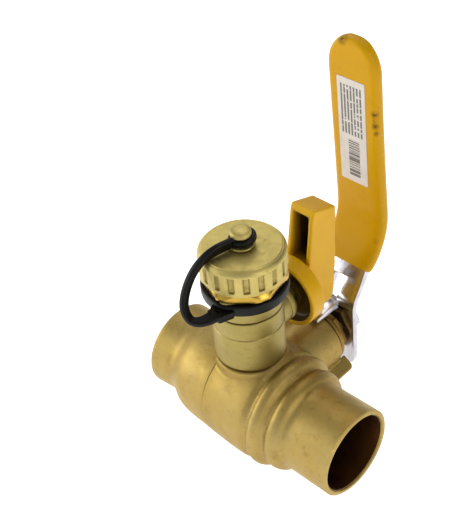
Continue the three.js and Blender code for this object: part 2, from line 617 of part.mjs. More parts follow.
// The strap itself, a round-edged band along its hand-set route.
function strapTail() {
  const route = new THREE.CatmullRomCurve3(STRAP_ROUTE.map((p) => new THREE.Vector3(...p)));
  const section = outline(Array.from({ length: 8 }, (_, i) => {
    const angle = ((i + 0.5) * Math.PI) / 4;
    return [STRAP_HALF * Math.cos(angle), STRAP_HALF * Math.sin(angle)];
  }));
  return solid(new THREE.ExtrudeGeometry(section, { steps: 24, extrudePath: route }));
}

piece('strap_ring', strapRing(), blackRubber());
piece('strap_tail', strapTail(), blackRubber());
piece('strap_loop', ring('z', 2.9, 4.6, LOOP_Z - 1.1, LOOP_Z + 1.1, AROUND_SMALL), blackRubber());

export default valve;
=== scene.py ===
"""Looks for a one-inch ball valve with a side drain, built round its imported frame.

Sizes in the shape code are millimetres; MM turns them into metres. The row frame
is the CAD's: +X along the pipe, +Y out along the main stem, +Z up the drain.
"""

import math

import bmesh
import bpy
from mathutils import Matrix, Vector


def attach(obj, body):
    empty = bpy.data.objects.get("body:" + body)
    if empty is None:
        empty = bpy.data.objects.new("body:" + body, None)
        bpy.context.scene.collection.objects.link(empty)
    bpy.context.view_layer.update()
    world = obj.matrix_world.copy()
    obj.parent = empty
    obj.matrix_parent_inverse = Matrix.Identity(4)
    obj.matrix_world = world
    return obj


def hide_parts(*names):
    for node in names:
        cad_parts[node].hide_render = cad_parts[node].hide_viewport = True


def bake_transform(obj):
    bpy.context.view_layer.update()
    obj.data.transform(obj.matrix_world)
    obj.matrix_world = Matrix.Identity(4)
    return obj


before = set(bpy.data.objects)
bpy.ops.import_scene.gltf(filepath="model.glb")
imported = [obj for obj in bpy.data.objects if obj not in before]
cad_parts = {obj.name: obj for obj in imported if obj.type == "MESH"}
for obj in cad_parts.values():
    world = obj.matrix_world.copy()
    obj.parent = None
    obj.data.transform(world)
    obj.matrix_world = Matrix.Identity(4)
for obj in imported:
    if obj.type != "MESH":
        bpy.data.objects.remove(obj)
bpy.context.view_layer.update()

MM = 0.001
TAU = 2 * math.pi
FINE = 1.0  # coarser forging meshes while trying things


# ---- camera, light and floor

CAMERA_AT = (198.879, -186.587, 288.419)
CAMERA_AZIMUTH = 47.281
CAMERA_ELEVATION = 39.862
CAMERA_ROLL = -5.556
CAMERA_LENS = 74.79
FLOOR_Z = -21.6
FLOOR_REACH = 2600
FLOOR_GLOW = 0.75  # the white sweep, lit from below
BRIGHT_SIDE = (-0.62, -0.62, -0.48)  # where the surroundings are brightest


def make_camera():
    """A camera at the photograph's viewing angle, as the scene's camera."""
    azimuth, elevation, roll = map(
        math.radians, (CAMERA_AZIMUTH, CAMERA_ELEVATION, CAMERA_ROLL)
    )
    back = Vector((
        math.sin(azimuth) * math.cos(elevation),
        -math.cos(azimuth) * math.cos(elevation),
        math.sin(elevation),
    ))
    level = Vector((math.cos(azimuth), math.sin(azimuth), 0))
    upright = back.cross(level)
    right = math.cos(roll) * level + math.sin(roll) * upright
    up = -math.sin(roll) * level + math.cos(roll) * upright
    data = bpy.data.cameras.new("camera")
    data.sensor_width = 36
    data.lens = CAMERA_LENS
    data.clip_start = 0.01
    data.clip_end = 20
    camera = link("camera", data)
    turn = Matrix((right, up, back)).transposed().to_4x4()
    camera.matrix_world = Matrix.Translation(Vector(CAMERA_AT) * MM) @ turn
    bpy.context.scene.camera = camera


def soft_light(name, place, aim, size, power, tint=(1, 1, 1)):
    """A square area light at place, facing aim, in metres and watts."""
    data = bpy.data.lights.new(name, "AREA")
    data.shape = "RECTANGLE"
    data.size, data.size_y = size
    data.energy = power
    data.color = tint
    light = link(name, data)
    light.location = place
    toward = Vector(aim) - Vector(place)
    light.rotation_mode = "QUATERNION"
    light.rotation_quaternion = toward.to_track_quat("-Z", "Y")


def make_lights():
    """Large soft boxes; the surroundings are dimmer behind and to the right."""
    middle = (0, 0, 0.04)
    soft_light("overhead", (-0.1, 0.45, 1.0), middle, (0.7, 0.6), 2.2, (1, 0.97, 0.92))
    soft_light("left_front", (-0.95, -0.65, 0.4), middle, (0.9, 0.7), 6.3, (0.98, 1, 0.94))
    soft_light("right", (1.05, 0.0, 0.45), middle, (0.5, 0.6), 3, (1, 0.97, 0.9))
    soft_light("behind", (-0.8, 0.75, 0.9), (0, 0, 0.06), (0.4, 0.4), 1.4, (1, 0.98, 0.92))
    world = bpy.data.worlds.new("studio")
    world.use_nodes = True
    nodes, links = world.node_tree.nodes, world.node_tree.links
    heading = nodes.new("ShaderNodeVectorMath")
    heading.operation = "DOT_PRODUCT"
    heading.inputs[1].default_value = BRIGHT_SIDE
    links.new(nodes.new("ShaderNodeTexCoord").outputs["Generated"], heading.inputs[0])
    level = nodes.new("ShaderNodeMapRange")
    for name, value in (("From Min", -1), ("From Max", 1), ("To Min", 0.2), ("To Max", 0.95)):
        level.inputs[name].default_value = value
    links.new(heading.outputs["Value"], level.inputs["Value"])
    links.new(level.outputs["Result"], nodes["Background"].inputs["Strength"])
    nodes["Background"].inputs["Color"].default_value = (1, 1, 1, 1)
    bpy.context.scene.world = world
    bpy.context.scene.view_settings.view_transform = "Standard"


# ---- mesh helpers

# which coordinates take (cosine, sine, along) for a shape turned about an axis
TURN_ORDER = {"x": (1, 2, 0), "y": (2, 0, 1), "z": (0, 1, 2)}


def link(name, data):
    obj = bpy.data.objects.new(name, data)
    bpy.context.scene.collection.objects.link(obj)
    return obj


def build(name, points, faces):
    """A mesh object from points in millimetres, with its faces pointing out."""
    mesh = bpy.data.meshes.new(name)
    mesh.from_pydata([tuple(c * MM for c in p) for p in points], [], faces)
    shape = bmesh.new()
    shape.from_mesh(mesh)
    bmesh.ops.recalc_face_normals(shape, faces=shape.faces)
    shape.to_mesh(mesh)
    shape.free()
    return link(name, mesh)


def curve(start, middle, end, steps):
    """Points of a quadratic curve, without its start."""
    a, b, c = Vector(start), Vector(middle), Vector(end)
    return [
        tuple(a * (1 - t) ** 2 + b * 2 * t * (1 - t) + c * t ** 2)
        for t in (j / steps for j in range(1, steps + 1))
    ]


def eased(points, radius, steps=3):
    """Rounds the corners of a closed outline."""
    count = len(points)
    result = []
    for i, corner in enumerate(points):
        before, after = points[i - 1], points[(i + 1) % count]
        here = Vector(corner)
        back, ahead = Vector(before) - here, Vector(after) - here
        cut = min(radius, 0.45 * back.length, 0.45 * ahead.length)
        straight = abs(back.normalized().cross(ahead.normalized())) < 0.02
        if cut < 1e-4 or straight:
            result.append(corner)
            continue
        first = here + back.normalized() * cut
        last = here + ahead.normalized() * cut
        result += [tuple(first), *curve(first, here, last, steps)]
    return result


def flowing(points, steps=5):
    """A smooth curve through all the points, ends kept."""
    padded = [points[0], *points, points[-1]]
    result = []
    for i in range(1, len(padded) - 2):
        p0, p1, p2, p3 = (Vector(p) for p in padded[i - 1:i + 3])
        for j in range(steps):
            t = j / steps
            q = 0.5 * (
                2 * p1 + (p2 - p0) * t
                + (2 * p0 - 5 * p1 + 4 * p2 - p3) * t ** 2
                + (3 * p1 - p0 - 3 * p2 + p3) * t ** 3
            )
            result.append(tuple(q))
    result.append(tuple(points[-1]))
    return result


def turned(name, axis, profile, around=96, centre=(0, 0, 0), shaped=None):
    """Turns a profile of (radius, along) about an axis. It runs from the axis back
    to the axis, or closes on itself as a ring. shaped(angle, radius, along) may
    change the radius."""
    first, second, third = TURN_ORDER[axis]
    points, rows = [], []
    for radius, along in profile:
        row = []
        for i in range(1 if radius < 1e-6 else around):
            angle = TAU * i / around
            r = shaped(angle, radius, along) if shaped else radius
            point = [0, 0, 0]
            point[first] = r * math.cos(angle)
            point[second] = r * math.sin(angle)
            point[third] = along
            row.append(len(points))
            points.append([a + b for a, b in zip(point, centre)])
        rows.append(row)
    if len(rows[0]) > 1:
        rows.append(rows[0])
    faces = []
    for low, high in zip(rows, rows[1:]):
        if len(low) == 1 and len(high) == 1:
            continue
        for i in range(around):
            j = (i + 1) % around
            if len(low) == 1:
                faces.append((low[0], high[i], high[j]))
            elif len(high) == 1:
                faces.append((low[i], low[j], high[0]))
            else:
                faces.append((low[i], low[j], high[j], high[i]))
    return build(name, points, faces)


def pushed(name, axis, outline, low, high):
    """Pushes a flat outline along an axis; the outline lies on the other two
    coordinates, in (x, y, z) order."""
    others = [i for i in range(3) if i != "xyz".index(axis)]
    points = []
    for level in (low, high):
        for pair in outline:
            point = [level] * 3
            point[others[0]], point[others[1]] = pair
            points.append(point)
    n = len(outline)
    faces = [tuple(range(n)), tuple(range(n, 2 * n))]
    faces += [(i, (i + 1) % n, n + (i + 1) % n, n + i) for i in range(n)]
    return build(name, points, faces)


def rectangle(left, right, low, high):
    return [(left, low), (right, low), (right, high), (left, high)]


def tube(axis, radius, low, high, around=48, centre=(0, 0, 0)):
    """A plain round bar, to cut or join with."""
    return turned("tube", axis, rectangle(0, radius, low, high), around, centre)


def skinned(name, sections):
    """A closed skin over a row of sections that all have as many points."""
    n = len(sections[0])
    points = [point for section in sections for point in section]
    starts = range(0, len(points), n)
    faces = [
        (low + i, low + (i + 1) % n, low + n + (i + 1) % n, low + n + i)
        for low in starts[:-1] for i in range(n)
    ]
    faces += [tuple(range(n)), tuple(range(starts[-1], len(points)))]
    return build(name, points, faces)


def settled(obj):
    """Applies an object's modifiers to its mesh."""
    bpy.context.view_layer.update()
    graph = bpy.context.evaluated_depsgraph_get()
    mesh = bpy.data.meshes.new_from_object(obj.evaluated_get(graph))
    obj.modifiers.clear()
    old, obj.data = obj.data, mesh
    bpy.data.meshes.remove(old)
    return obj


def combined(operation, obj, others):
    for other in others:
        step = obj.modifiers.new("solid", "BOOLEAN")
        step.operation = operation
        step.solver = "EXACT"
        step.object = other
        settled(obj)
        bpy.data.objects.remove(other)
    return obj


def united(obj, *others):
    return combined("UNION", obj, others)


def cut(obj, *others):
    return combined("DIFFERENCE", obj, others)


def shared(obj, *others):
    return combined("INTERSECT", obj, others)


def gathered(obj, *others):
    """Puts several meshes into the first object as loose shells."""
    shape = bmesh.new()
    for part in (obj, *others):
        shape.from_mesh(part.data)
    shape.to_mesh(obj.data)
    shape.free()
    for part in others:
        bpy.data.objects.remove(part)
    return obj


def melted(obj, voxel, passes):
    """Melts overlapping shells into one skin with softly rounded edges."""
    remesh = obj.modifiers.new("melt", "REMESH")
    remesh.mode = "VOXEL"
    remesh.voxel_size = voxel * FINE * MM
    soften = obj.modifiers.new("soften", "SMOOTH")
    soften.factor = 0.5
    soften.iterations = max(1, round(passes / FINE ** 2))
    return settled(obj)


def bevelled(obj, width, angle=40):
    bevel = obj.modifiers.new("bevel", "BEVEL")
    bevel.width = width * MM
    bevel.segments = 2
    bevel.limit_method = "ANGLE"
    bevel.angle_limit = math.radians(angle)
    return settled(obj)


def hexagon(flats, turn=0.0):
    corner = flats / math.sqrt(3)
    return [
        (corner * math.cos(turn + i * TAU / 6), corner * math.sin(turn + i * TAU / 6))
        for i in range(6)
    ]


def lined(obj, material, test):
    """Gives a second material to the faces whose middle, in millimetres, passes."""
    obj.data.materials.append(material)
    for face in obj.data.polygons:
        if test(face.center / MM):
            face.material_index = len(obj.data.materials) - 1
    return obj


def finished(obj, material, node, crease=32):
    """Gives a piece its material and smooth faces, and hides the node it replaces."""
    if material is not None:
        obj.data.materials.clear()
        obj.data.materials.append(material)
    obj.data.polygons.foreach_set("use_smooth", [True] * len(obj.data.polygons))
    obj.data.set_sharp_from_angle(angle=math.radians(crease))
    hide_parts(node)
    return obj


def placed(obj, material, body, node, crease=32):
    """Finishes a piece that rides on one body."""
    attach(obj, body)
    return finished(obj, material, node, crease)


# ---- materials


class Finish:
    """A node-based material with helpers for its colour, roughness and relief.
    Pattern scales are in cycles per metre of the row frame. Any value given to a
    helper may be a constant or another node's output."""

    def __init__(self, name, metallic=0.0, roughness=0.5):
        self.material = bpy.data.materials.new(name)
        self.material.use_nodes = True
        self.tree = self.material.node_tree
        self.shader = self.tree.nodes["Principled BSDF"]
        self.give(self.shader, Metallic=metallic, Roughness=roughness)
        self.place = self.node("TexCoord").outputs["Object"]
        self.normal = None

    def feed(self, target, value):
        if isinstance(value, bpy.types.NodeSocket):
            self.tree.links.new(value, target)
        else:
            target.default_value = value

    def give(self, node, **inputs):
        for name, value in inputs.items():
            self.feed(node.inputs[name.replace("_", " ")], value)

    def node(self, kind, **inputs):
        made = self.tree.nodes.new("ShaderNode" + kind)
        self.give(made, **inputs)
        return made

    def sums(self, kind, operation, *values):
        """The outputs of a math node of either kind."""
        made = self.node(kind)
        made.operation = operation
        for value, target in zip(values, made.inputs):
            self.feed(target, value)
        return made.outputs

    def calc(self, operation, first, second=0):
        return self.sums("Math", operation, first, second)[0]

    def distance(self, place, point):
        """How far a place is from a point given in millimetres."""
        point = [c * MM for c in point]
        return self.sums("VectorMath", "DISTANCE", place, point)["Value"]

    def stretched(self, scale):
        """The row frame's coordinates, scaled unevenly."""
        return self.node("Mapping", Scale=scale, Vector=self.place).outputs["Vector"]

    def noise(self, scale, detail=3.0, rough=0.5, place=None):
        return self.node("TexNoise", Scale=scale, Detail=detail, Roughness=rough,
                         Vector=place or self.place).outputs["Fac"]

    def ramp(self, value, *stops):
        """stops are (position, grey or colour)."""
        made = self.node("ValToRGB", Fac=value)
        points = made.color_ramp.elements
        while len(points) < len(stops):
            points.new(0.5)
        for point, (position, colour) in zip(points, stops):
            point.position = position
            whole = (colour,) * 3 if isinstance(colour, (int, float)) else colour
            point.color = (*whole, 1)
        return made.outputs["Color"]

    def mixed(self, share, first, second):
        """A colour between two."""
        made = self.node("Mix")
        made.data_type = "RGBA"
        for value, index in ((share, 0), (first, 6), (second, 7)):
            value = (*value, 1) if isinstance(value, tuple) else value
            self.feed(made.inputs[index], value)
        return made.outputs[2]

    def both(self, first, *others):
        """The product of several masks."""
        for other in others:
            first = self.calc("MULTIPLY", first, other)
        return first

    def below(self, value, limit):
        """1 where a coordinate is under a limit in millimetres, else 0."""
        return self.calc("LESS_THAN", value, limit * MM)

    def above(self, value, limit):
        return self.calc("GREATER_THAN", value, limit * MM)

    def between(self, value, low, high):
        return self.both(self.above(value, low), self.below(value, high))

    def swept(self, source, low, high):
        """A pattern's middle range, spread between two values or colours."""
        return self.ramp(source, (0.3, low), (0.7, high))

    def blotches(self, scale, detail, dark, light):
        return self.swept(self.noise(scale, detail), dark, light)

    def coordinates(self):
        split = self.node("SeparateXYZ", Vector=self.place)
        return [split.outputs[name] for name in "XYZ"]

    def round_axis(self, axis, centre=(0, 0, 0)):
        """Distance from a line along an axis, and the place along that axis."""
        across = [float(name != axis) for name in "xyz"]
        flat = self.sums("VectorMath", "MULTIPLY", self.place, across)[0]
        centre = [c * keep for c, keep in zip(centre, across)]
        return self.distance(flat, centre), self.coordinates()["xyz".index(axis)]

    def near(self, point, radius):
        """1 at a point given in millimetres, falling to 0 at radius."""
        share = self.calc("DIVIDE", self.distance(self.place, point), radius * MM)
        return self.ramp(share, (0.15, 1.0), (1.0, 0.0))

    def colour(self, source):
        self.give(self.shader, Base_Color=source)

    def shine(self, level):
        self.give(self.shader, Specular_IOR_Level=level)

    def gloss(self, source, low, high):
        """Roughness that follows a pattern between two values."""
        self.give(self.shader, Roughness=self.swept(source, low, high))

    def relief(self, height, depth, strength=1.0):
        """Adds a bump of that depth in millimetres."""
        bump = self.node("Bump", Strength=strength, Distance=depth * MM, Height=height)
        if self.normal is not None:
            self.give(bump, Normal=self.normal)
        self.normal = bump.outputs["Normal"]
        self.give(self.shader, Normal=self.normal)

    def bends(self, *stops):
        """How sharply the surface turns: under 0.5 inward, over 0.5 outward."""
        return self.ramp(self.node("NewGeometry").outputs["Pointiness"], *stops)


def srgb(red, green, blue):
    """A screen colour, 0 to 255, as a linear one."""
    values = [c / 255 for c in (red, green, blue)]
    return tuple(
        c / 12.92 if c <= 0.04045 else ((c + 0.055) / 1.055) ** 2.4 for c in values
    )


def forged_brass():
    """Sand-blasted forging: fine grain, shallow pits, patches, brighter edges, and painted shade
    darkening its creases and grooves.
    """
    m = Finish("forged_brass", metallic=1.0)
    patches = m.noise(55, detail=4)
    tint = m.ramp(patches, (0.3, srgb(158, 133, 70)), (0.5, srgb(172, 147, 84)),
                  (0.7, srgb(170, 149, 92)))
    stain = m.ramp(m.noise(210, detail=6, rough=0.7), (0.54, 0.0), (0.74, 0.6))
    tint = m.mixed(stain, tint, srgb(132, 102, 48))
    speck = m.ramp(m.noise(1300, detail=4, rough=0.7), (0.58, 0.0), (0.72, 0.4))
    tint = m.mixed(speck, tint, srgb(122, 98, 50))
    # painted shade: concave creases and grooves are darkened towards a dark brass
    tint = m.mixed(m.bends((0.44, 1.0), (0.482, 0.0)), tint, srgb(112, 84, 38))
    m.colour(m.mixed(m.both(m.bends((0.535, 0.0), (0.6, 1.0)), 0.4), tint, srgb(206, 180, 112)))
    m.gloss(m.noise(180, detail=4), 0.46, 0.58)
    m.relief(m.noise(900, detail=3), 0.065, 0.9)
    m.relief(m.noise(3800, detail=2), 0.02, 0.9)
    return m.material


def plain(name, metallic, patches, shine, grain):
    """A simple finish: patches of two colours, uneven gloss and a fine grain."""
    m = Finish(name, metallic)
    m.colour(m.blotches(*patches))
    scale, low, high = shine
    m.gloss(m.noise(scale), low, high)
    scale, detail, depth, strength = grain
    m.relief(m.noise(scale, detail), depth, strength)
    return m.material


def turned_brass(name, axis, light, smooth=0.40, rough=0.52, grain=0.012, shade_grooves=None):
    """Machined or tumbled brass with faint rings round its axis and a fine grain.
    The last argument, (radius, bottom, top), is where painted shade darkens the flute valleys in
    patches, nearer Z than radius."""
    m = Finish(name, metallic=1.0)
    deep = tuple(c * 0.84 for c in light)
    tint = m.ramp(m.noise(90, detail=4), (0.32, deep), (0.68, light))
    stain = m.ramp(m.noise(380, detail=5, rough=0.7), (0.57, 0.0), (0.74, 0.5))
    tint = m.mixed(stain, tint, srgb(122, 98, 48))
    if shade_grooves:
        radius, bottom, top = shade_grooves
        across, height = m.round_axis("z")
        # painted shade: the flute valleys are darkened in patches
        groove_shade = m.both(m.below(across, radius), m.between(height, bottom, top),
                      m.blotches(500, 3, 0.25, 0.6))
        tint = m.mixed(groove_shade, tint, srgb(104, 84, 40))
    m.colour(tint)
    rings = m.noise(420, detail=3, place=m.stretched(axis))
    m.gloss(rings, smooth, rough)
    m.relief(rings, 0.008, 0.5)
    m.relief(m.noise(3000, detail=2), grain, 0.7)
    return m.material


def chrome():
    m = Finish("chromed_ball", metallic=1.0)
    haze = m.noise(140, detail=4)
    m.colour(m.swept(haze, srgb(196, 196, 198), srgb(222, 222, 224)))
    m.gloss(haze, 0.06, 0.16)
    m.relief(m.noise(900, detail=2), 0.003, 0.3)
    return m.material


def zinc_steel(name="zinc_steel", grain=(14, 1, 1)):
    """Bright zinc over rolled steel, with fine drawn streaks."""
    m = Finish(name, metallic=1.0)
    streaks = m.noise(160, detail=5, rough=0.6, place=m.stretched(grain))
    m.colour(m.swept(streaks, srgb(176, 176, 184), srgb(204, 204, 212)))
    m.gloss(streaks, 0.17, 0.25)
    m.relief(streaks, 0.0008, 0.3)
    m.relief(m.noise(260, detail=2), 0.01, 0.3)
    return m.material


SCUFFS = (  # places in millimetres and sizes of the dark rub marks on the grip
    ((9.1, 57.1, 91), 2.0),
    ((9.5, 57.2, 88.6), 1.6),
    ((9.2, 57.3, 86.2), 1.9),
    ((9.6, 57.5, 83.4), 1.5),
    ((-3.5, 56.4, 115.6), 2.6),
    ((9.2, 58.7, 36.5), 2.0),
)


def yellow_vinyl():
    """Dipped vinyl: soft gloss, slight orange peel, dark rub marks."""
    m = Finish("yellow_vinyl", roughness=0.35)
    tone = m.blotches(45, 3, srgb(194, 144, 2), srgb(201, 152, 5))
    fleck = m.noise(420, detail=6, rough=0.75)
    marks = None
    for point, radius in SCUFFS:
        spot = m.near(point, radius)
        marks = spot if marks is None else m.calc("MAXIMUM", marks, spot)
    rub = m.both(marks, m.ramp(fleck, (0.38, 0.0), (0.52, 0.92)))
    m.colour(m.mixed(rub, tone, srgb(70, 52, 20)))
    m.gloss(m.noise(110, detail=3), 0.22, 0.32)
    m.relief(m.noise(420, detail=2), 0.03, 0.5)
    m.shine(0.12)
    return m.material


def yellow_paint():
    """Powder coat on the die-cast drain lever with patchy grime, and painted shade darkening its
    pocket and the inside of its bowl.
    """
    m = Finish("yellow_paint", roughness=0.42)
    tone = m.blotches(60, 3, srgb(208, 158, 12), srgb(218, 169, 22))
    grime = m.ramp(m.noise(330, detail=5, rough=0.7), (0.62, 0.0), (0.80, 0.35))
    tone = m.mixed(grime, tone, srgb(150, 106, 22))
    # painted shade: the deep pocket darkens to near black towards its back
    side, depth, height = m.coordinates()
    roof = m.calc("ADD", height, m.calc("MULTIPLY", depth, ROOF_SLOPE))
    fade = m.calc("DIVIDE", m.calc("SUBTRACT", depth, 26.5 * MM), 6 * MM)
    pocket = m.both(
        m.below(m.calc("ABSOLUTE", side), POCKET_HALF + 0.25),
        m.below(roof, DRAIN_Z + 31 + BOWL_BACK * ROOF_SLOPE),
        m.above(height, DRAIN_Z + POCKET_FOOT - 0.4),
        m.below(depth, LEVER_BACK - 2.2),
        m.ramp(fade, (0.0, 0.0), (1.0, 0.93)),
    )
    tone = m.mixed(pocket, tone, srgb(22, 13, 2))
    # painted shade: the inside of the bowl is darkened
    reach, depth = m.round_axis("y", DRAIN_CENTRE)
    bowl = m.both(m.below(reach, HUB_R - 1.3), m.between(depth, HUB_FRONT + 0.6, 23))
    m.colour(m.mixed(m.both(bowl, 0.9), tone, srgb(34, 20, 5)))
    m.gloss(m.noise(150, detail=3), 0.30, 0.42)
    m.shine(0.18)
    m.relief(m.noise(900, detail=2), 0.025, 0.6)
    return m.material


def black_rubber():
    m = Finish("black_rubber", roughness=0.45)
    dust = m.ramp(m.noise(240, detail=5, rough=0.7), (0.45, 0.0), (0.75, 0.6))
    m.colour(m.mixed(dust, srgb(5, 5, 5), srgb(17, 16, 15)))
    m.shine(0.18)
    m.gloss(m.noise(160, detail=4), 0.30, 0.50)
    m.relief(m.noise(700, detail=3), 0.03, 0.5)
    return m.material


# ---- body and end piece

NEAR_END = 46.8
FAR_END = -38.1
SEAM_X = -6.5
SOCKET_R = 14.35
PORT_R = 11.6
BALL_R = 15.5
SEAL_R = 15.9  # the chamber round the ball and its seats
CHAMBER_END = 12.9
RIM_CHAMFER = 0.55
STEM_BOSS_R = 12.2
STEM_BOSS_END = 35.3
DRAIN_BOSS_R = 12.9
DRAIN_BOSS_END = 20.9
EAR_ANGLES = (-33, 124)  # degrees round the stem boss
EAR_HALF = 1.55


def body_forging():
    """The forging: near cup, two rings, swollen middle, both bosses and the ears."""
    skin = flowing([
        (16.45, 48.6), (16.45, 44), (16.42, 38), (16.36, 32), (16.4, 28.6), (17, 27.1),
        (18.2, 26.1), (19.05, 24.7), (19.3, 23.1), (18.85, 21.8), (18.3, 20.8),
        (19, 19.8), (20.5, 18.7), (21.2, 17.3), (21.25, 16), (20.6, 14.9),
        (20.05, 14), (20.5, 13.1), (21.15, 12), (21.3, 9.5), (21.25, 4), (21, -1),
        (20.72, -6.6), (20.72, -12.6),
    ], 3)
    shell = turned("body_forging", "x", [(0, 48.6), *skin, (0, -12.6)], 128)
    stem_boss = turned("boss", "y", [
        (0, 6), (STEM_BOSS_R, 6), (STEM_BOSS_R, STEM_BOSS_END - 0.6),
        (STEM_BOSS_R - 0.6, STEM_BOSS_END), (0, STEM_BOSS_END)])
    drain_boss = turned("boss", "z", [
        (0, 6), (DRAIN_BOSS_R, 6), (DRAIN_BOSS_R, DRAIN_BOSS_END - 0.5),
        (DRAIN_BOSS_R - 0.4, DRAIN_BOSS_END), (0, DRAIN_BOSS_END)])
    ears = []
    for angle in EAR_ANGLES:
        ear = pushed("ear", "z", [
            (8, 12), (17.5, 12), (17.5, 36.6), (16.2, 38), (11.7, 38), (11.7, 33), (8, 33),
        ], -EAR_HALF, EAR_HALF)
        ear.data.transform(Matrix.Rotation(math.radians(-angle), 4, "Y"))
        ears.append(ear)
    gathered(shell, stem_boss, drain_boss, *ears)
    melted(shell, voxel=0.42, passes=5)
    bore = turned("bore", "x", [
        (0, -20), (SEAL_R, -20), (SEAL_R, CHAMBER_END), (PORT_R, CHAMBER_END),
        (PORT_R, 24.3), (SOCKET_R, 24.3), (SOCKET_R, NEAR_END - 0.7),
        (SOCKET_R + RIM_CHAMFER, NEAR_END), (SOCKET_R + 1.5, NEAR_END),
        (SOCKET_R + 2.2, NEAR_END - RIM_CHAMFER), (30, NEAR_END - RIM_CHAMFER),
        (30, 60), (0, 60),
    ], 128)
    seam = turned("seam", "x", [
        (0, -11.7), (18.4, -11.7), (18.4, SEAM_X), (30, SEAM_X), (30, -20), (0, -20),
    ])
    stem_way = turned("way", "y", [
        (0, 8), (6.6, 8), (6.6, 19.6), (5.4, 19.6), (5.4, 27.5), (8, 27.5), (8, 40), (0, 40),
    ], 48)
    return cut(shell, bore, seam, stem_way, tube("z", 6.3, 8, 24))


def far_cup():
    """The screwed end piece: a collar that closes on the body, and the far cup."""
    outside = flowing([
        (20.55, -7.1), (20.5, -9), (20.35, -12.5), (20.1, -16), (19.7, -18.8), (19, -21.2),
        (17.95, -23.3), (16.8, -25.2), (16, -27), (15.8, -28.6), (15.95, -31),
        (16.2, -34), (16.42, -36.8),
    ], 4)
    return turned("far_cup", "x", [
        (18.7, -6.8), (20.3, -6.8), *outside, (16.35, -37.7), (15.85, FAR_END),
        (SOCKET_R + RIM_CHAMFER, FAR_END), (SOCKET_R, FAR_END + 0.7), (SOCKET_R, -15.6),
        (PORT_R, -15.6), (PORT_R, -CHAMBER_END), (18.7, -CHAMBER_END),
    ], 128)


def ball(name, radius, port, centre_z, tang, side_port=None):
    """A polished ball with its bore, a slot for the stem and a side port."""
    steps = 40
    turns = [i * math.pi / steps for i in range(steps + 1)]
    arc = [(radius * math.sin(turn), radius * math.cos(turn)) for turn in turns]
    arc[0], arc[-1] = (0, radius), (0, -radius)
    centre, reach = (0, 0, centre_z), radius + 1
    shape = turned(name, "z", arc, 80, centre)
    cut(shape, tube("z", port, -reach, reach, 64, centre))
    if side_port:
        cut(shape, tube("x", side_port, 0, reach, 48, centre))
    start, half = tang
    slot = rectangle(start, reach, centre_z - half, centre_z + half)
    return cut(shape, pushed("slot", "x", slot, -reach, reach))


# ---- main stem and lever

PLATE_Y = 42.2
PLATE_T = 2.3
BEND_Z = 17
GRIP_BEND = (60.9, 37.6)
STEEL_TOP = (57.2, 114)
GRIP_TOP = 117
GRIP_BOTTOM = 27
NUT_START = PLATE_Y + PLATE_T + 1.7
NUT_END = NUT_START + 5.6
STEM_R = 4.4
STEM_FLAT = 3.6  # half the width across its flats
STEM_PITCH = 1.25


def lever_line():
    """The steel's inner face in (y, z), from its foot to just past its top."""
    bend_y, bend_z = GRIP_BEND
    slope = (bend_y - PLATE_Y) / (bend_z - BEND_Z)
    turn_start = (PLATE_Y, BEND_Z - 3)
    turn_end = (PLATE_Y + 2.5 * slope, BEND_Z + 2.5)
    grip_start = (bend_y - 7 * slope, bend_z - 7)
    grip_end = (bend_y - 0.3, bend_z + 10)
    line = [(PLATE_Y, -14), turn_start]
    line += curve(turn_start, (PLATE_Y, BEND_Z), turn_end, 8)
    line.append(grip_start)
    line += curve(grip_start, GRIP_BEND, grip_end, 14)
    top_y, top_z = STEEL_TOP
    line.append(STEEL_TOP)
    share = 5 / (top_z - grip_end[1])
    line.append((top_y + (top_y - grip_end[0]) * share, top_z + 5))
    return line


def walked(line, gap):
    """The line again with points at an even spacing."""
    result = [Vector(line[0])]
    for a, b in zip(line, line[1:]):
        a, b = Vector(a), Vector(b)
        count = max(1, round((b - a).length / gap))
        result += [a.lerp(b, (i + 1) / count) for i in range(count)]
    return result


def frames(points):
    """(point, outward normal) along the lever's line, in (y, z)."""
    result = []
    for i, point in enumerate(points):
        ahead = points[min(i + 1, len(points) - 1)] - points[max(i - 1, 0)]
        ahead.normalize()
        result.append((point, Vector((ahead.y, -ahead.x))))
    return result


def lever_plate():
    """The zinc-plated lever: a bent strip, its window and its stop tongue."""
    line = frames(walked(lever_line(), 1.5))
    inner = [tuple(p) for p, _ in line]
    outer = [tuple(p + n * PLATE_T) for p, n in line]
    strip = pushed("lever_plate", "x", inner + outer[::-1], -16, 16)
    foot, arm, core = 11.7, 11.3, 8
    right = [(9, -13)]
    right += curve((9, -13), (foot, -13), (foot, -9), 6)
    right += [(arm, BEND_Z), (arm - 0.5, 22), (arm - 1.2, 26), (core, 33), (core, 100)]
    right += curve((core, 100), (core, 113), (0, 113), 10)[:-1]
    left = [(-x, z) for x, z in reversed(right)]
    shared(strip, pushed("outline", "y", [*right, (0, 113), *left], 30, 80))
    window = eased([(0.2, 14.9), (3.7, 14.9), (2.3, 23.6), (-1.7, 23.2)], 0.6, 4)
    cut(strip, pushed("window", "y", window, 30, 80))
    flats = [(3.9 * x, 4.7 * z) for x, z in eased(rectangle(-1, 1, -1, 1), 0.5, 4)]
    cut(strip, pushed("hole", "y", flats, 30, 60))
    tongue = pushed("tongue", "x", [
        (43.4, 12.5), (43.4, 14.7), (41, 14.95), (38.5, 15), (31, 14.7), (30.3, 14.3),
        (30.2, 13.4), (30.7, 12.7), (38.5, 12.75), (41, 12.6),
    ], -0.1, 4.4)
    united(strip, tongue)
    return bevelled(strip, 0.28, angle=38)


GRIP_SIDES = [  # height, left and right sides; the lever is bent a little
    (GRIP_BOTTOM, -10.3, 11.1), (30, -10.75, 11.5), (42, -10.5, 11.3), (55, -10.5, 10.9),
    (72, -10.65, 10.45), (90, -10.85, 10.1), (104, -11, 10),
]


